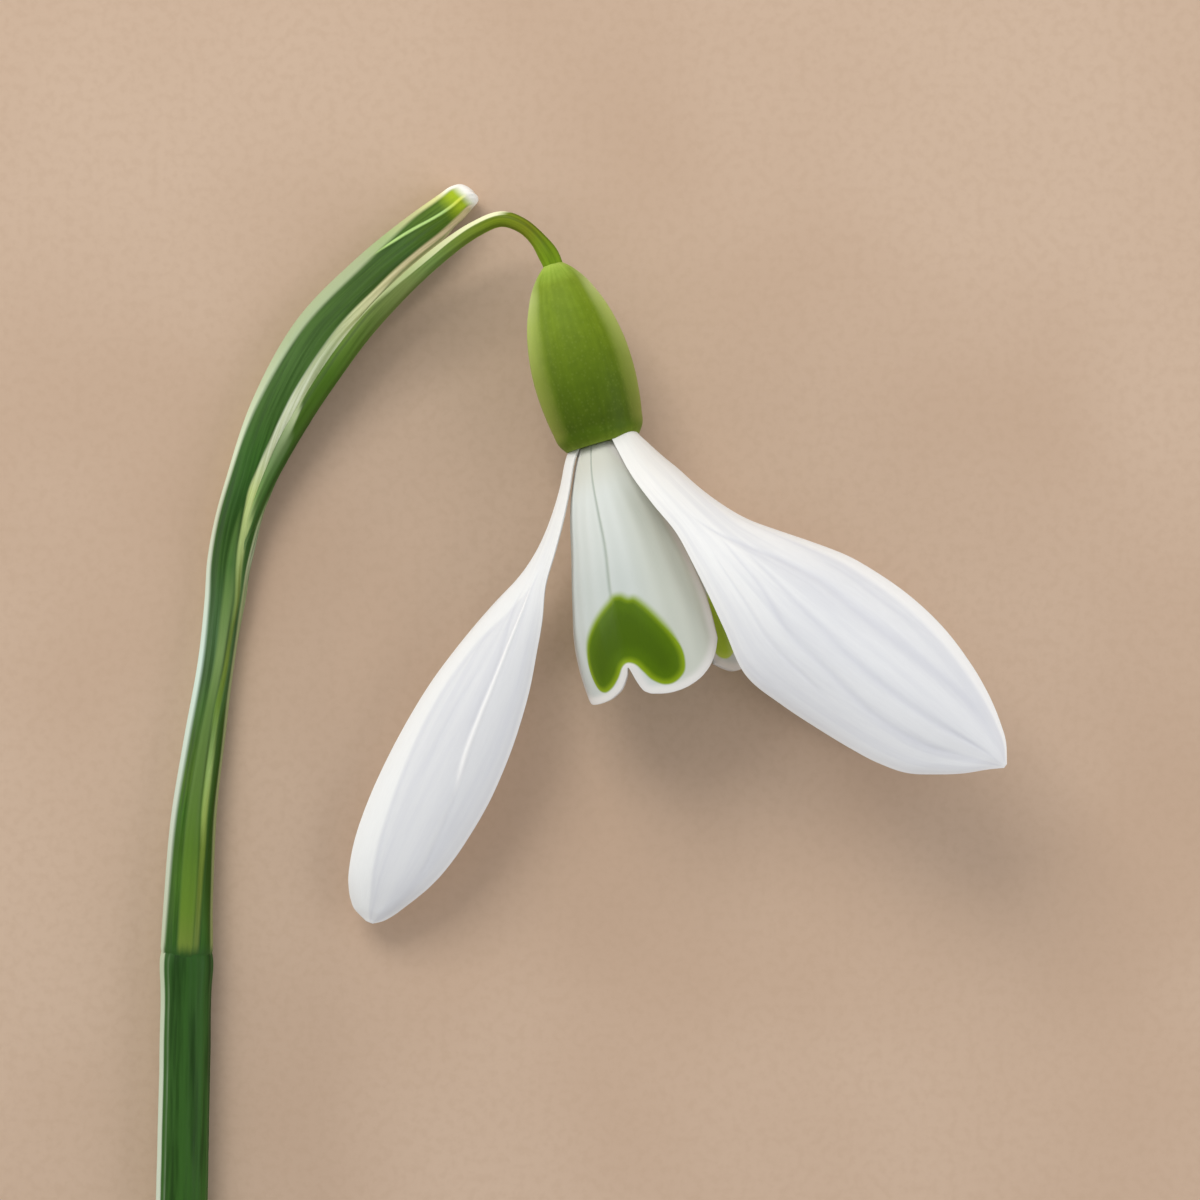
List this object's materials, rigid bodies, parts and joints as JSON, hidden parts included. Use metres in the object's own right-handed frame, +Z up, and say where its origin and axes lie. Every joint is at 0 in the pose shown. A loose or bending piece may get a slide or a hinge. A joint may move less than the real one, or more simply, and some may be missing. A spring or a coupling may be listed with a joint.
{
  "type": "snowdrop flower",
  "caption": "Nodding snowdrop flower on a cut stalk with its sheath, laid on its side: green ovary, long white outer tepals and a short inner bell with green marks.",
  "frame": {"origin": "middle of the footprint, on the surface that the cut flower lies on", "axes": "+Z up from the surface, +Y along the stalk towards the bend, +X from the stalk towards the flower"},
  "size_m": [0.044, 0.0581, 0.0105],
  "materials": {
    "scape_skin": "live green stalk skin with fine lengthwise ribs, waxy",
    "spathe_skin": "live green sheath with pale papery membrane edges, waxy",
    "pedicel_skin": "live yellow-green flower stalk, waxy",
    "ovary_skin": "live olive-green ovary skin with faint lengthwise lines",
    "outer_tepal_skin": "white petal, matt, with fine lengthwise furrows",
    "inner_tepal_skin": "translucent greenish-white petal with a green mark round the notch",
    "anther_skin": "matt orange-yellow anther on a white filament",
    "style_skin": "pale green-white thread"
  },
  "bodies": {
    "root": {"scape": "scape_skin", "spathe": "spathe_skin", "pedicel": "pedicel_skin", "ovary": "ovary_skin", "outer_tepal_right": "outer_tepal_skin", "outer_tepal_left": "outer_tepal_skin", "outer_tepal_rear": "outer_tepal_skin", "inner_tepal_front": "inner_tepal_skin", "inner_tepal_right": "inner_tepal_skin", "inner_tepal_rear": "inner_tepal_skin", "stamen_1": "anther_skin", "stamen_2": "anther_skin", "stamen_3": "anther_skin", "stamen_4": "anther_skin", "stamen_5": "anther_skin", "stamen_6": "anther_skin", "style": "style_skin"}
  },
  "joints": []
}
